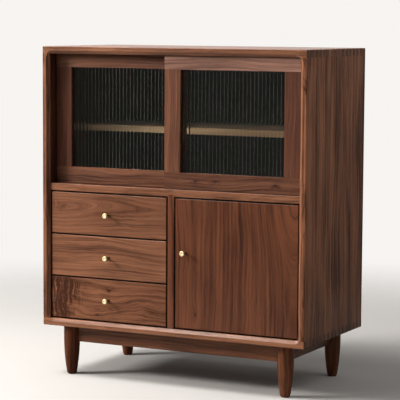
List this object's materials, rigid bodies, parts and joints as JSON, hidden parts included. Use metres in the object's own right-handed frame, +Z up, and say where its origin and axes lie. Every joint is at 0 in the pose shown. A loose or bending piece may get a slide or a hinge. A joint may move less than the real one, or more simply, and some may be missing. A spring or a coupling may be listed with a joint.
{
  "type": "side cabinet",
  "caption": "Walnut side cabinet on turned legs, with sliding reeded-glass doors above, and drawers beside a hinged door below.",
  "frame": {"origin": "on the ground, below the middle of the bounding box", "axes": "+Z up, -Y out of the front, +X to the right when facing the front"},
  "size_m": [0.8, 0.412, 0.92],
  "materials": {
    "walnut": "satin oiled walnut",
    "leg_walnut": "satin oiled walnut",
    "inner_walnut": "matte veneer",
    "drawer_wood": "matte light wood",
    "reeded_glass": "clear with vertical reeds",
    "brass": "satin turned",
    "bush_brass": "plain",
    "runner_steel": "zinc plated",
    "hardware_steel": "plain",
    "shelf_pin_steel": "nickel plated",
    "foot_pad_plastic": "matte",
    "catch_plastic": "matte"
  },
  "bodies": {
    "carcass": {"back_panel": "inner_walnut", "back_screws": "hardware_steel", "bottom_panel": "walnut", "cabinet_runners": "runner_steel", "centre_partition": "walnut", "corner_blocks": "inner_walnut", "cupboard_shelf": "inner_walnut", "door_pivot_pins": "hardware_steel", "foot_pads": "foot_pad_plastic", "front_apron": "leg_walnut", "front_left_leg": "leg_walnut", "front_right_leg": "leg_walnut", "left_side_panel": "walnut", "magnetic_catch": "catch_plastic", "middle_panel": "walnut", "rear_apron": "leg_walnut", "rear_left_leg": "leg_walnut", "rear_right_leg": "leg_walnut", "right_side_panel": "walnut", "shelf_pins": "shelf_pin_steel", "side_aprons": "leg_walnut", "top_panel": "walnut", "upper_shelf": "inner_walnut"},
    "left_sliding_door": {"left_door_bottom_rail": "walnut", "left_door_glass": "reeded_glass", "left_door_glazing_beads": "walnut", "left_door_left_stile": "walnut", "left_door_right_stile": "walnut", "left_door_top_rail": "walnut"},
    "right_sliding_door": {"right_door_bottom_rail": "walnut", "right_door_glass": "reeded_glass", "right_door_glazing_beads": "walnut", "right_door_left_stile": "walnut", "right_door_right_stile": "walnut", "right_door_top_rail": "walnut"},
    "upper_drawer": {"upper_drawer_back": "drawer_wood", "upper_drawer_bottom": "drawer_wood", "upper_drawer_front": "walnut", "upper_drawer_inner_runners": "runner_steel", "upper_drawer_knob": "brass", "upper_drawer_sides": "drawer_wood"},
    "upper_drawer_runner": {"upper_drawer_middle_runners": "runner_steel"},
    "middle_drawer": {"middle_drawer_back": "drawer_wood", "middle_drawer_bottom": "drawer_wood", "middle_drawer_front": "walnut", "middle_drawer_inner_runners": "runner_steel", "middle_drawer_knob": "brass", "middle_drawer_sides": "drawer_wood"},
    "middle_drawer_runner": {"middle_drawer_middle_runners": "runner_steel"},
    "lower_drawer": {"lower_drawer_back": "drawer_wood", "lower_drawer_bottom": "drawer_wood", "lower_drawer_front": "walnut", "lower_drawer_inner_runners": "runner_steel", "lower_drawer_knob": "brass", "lower_drawer_sides": "drawer_wood"},
    "lower_drawer_runner": {"lower_drawer_middle_runners": "runner_steel"},
    "cupboard_door": {"cupboard_door_panel": "walnut", "cupboard_door_knob": "brass", "door_pivot_bushes": "bush_brass", "catch_plate": "hardware_steel"}
  },
  "joints": [
    {"name": "left_door_slide", "type": "slide", "parent": "carcass", "child": "left_sliding_door", "axis": [1, 0, 0], "range_m": [0, 0.354]},
    {"name": "right_door_slide", "type": "slide", "parent": "carcass", "child": "right_sliding_door", "axis": [-1, 0, 0], "range_m": [0, 0.354]},
    {"name": "upper_drawer_slide", "type": "slide", "parent": "carcass", "child": "upper_drawer", "axis": [0, -1, 0], "range_m": [0, 0.3]},
    {"name": "upper_drawer_runner_slide", "type": "slide", "parent": "carcass", "child": "upper_drawer_runner", "axis": [0, -1, 0], "range_m": [0, 0.15]},
    {"name": "middle_drawer_slide", "type": "slide", "parent": "carcass", "child": "middle_drawer", "axis": [0, -1, 0], "range_m": [0, 0.3]},
    {"name": "middle_drawer_runner_slide", "type": "slide", "parent": "carcass", "child": "middle_drawer_runner", "axis": [0, -1, 0], "range_m": [0, 0.15]},
    {"name": "lower_drawer_slide", "type": "slide", "parent": "carcass", "child": "lower_drawer", "axis": [0, -1, 0], "range_m": [0, 0.3]},
    {"name": "lower_drawer_runner_slide", "type": "slide", "parent": "carcass", "child": "lower_drawer_runner", "axis": [0, -1, 0], "range_m": [0, 0.15]},
    {"name": "cupboard_door_hinge", "type": "hinge", "parent": "carcass", "child": "cupboard_door", "pos_m": [0.36, -0.176, 0.34], "axis": [0, 0, 1], "range_deg": [0, 100]}
  ],
  "couplings": [
    {"joint": "upper_drawer_runner_slide", "follows": "upper_drawer_slide", "ratio": 0.5},
    {"joint": "middle_drawer_runner_slide", "follows": "middle_drawer_slide", "ratio": 0.5},
    {"joint": "lower_drawer_runner_slide", "follows": "lower_drawer_slide", "ratio": 0.5}
  ]
}
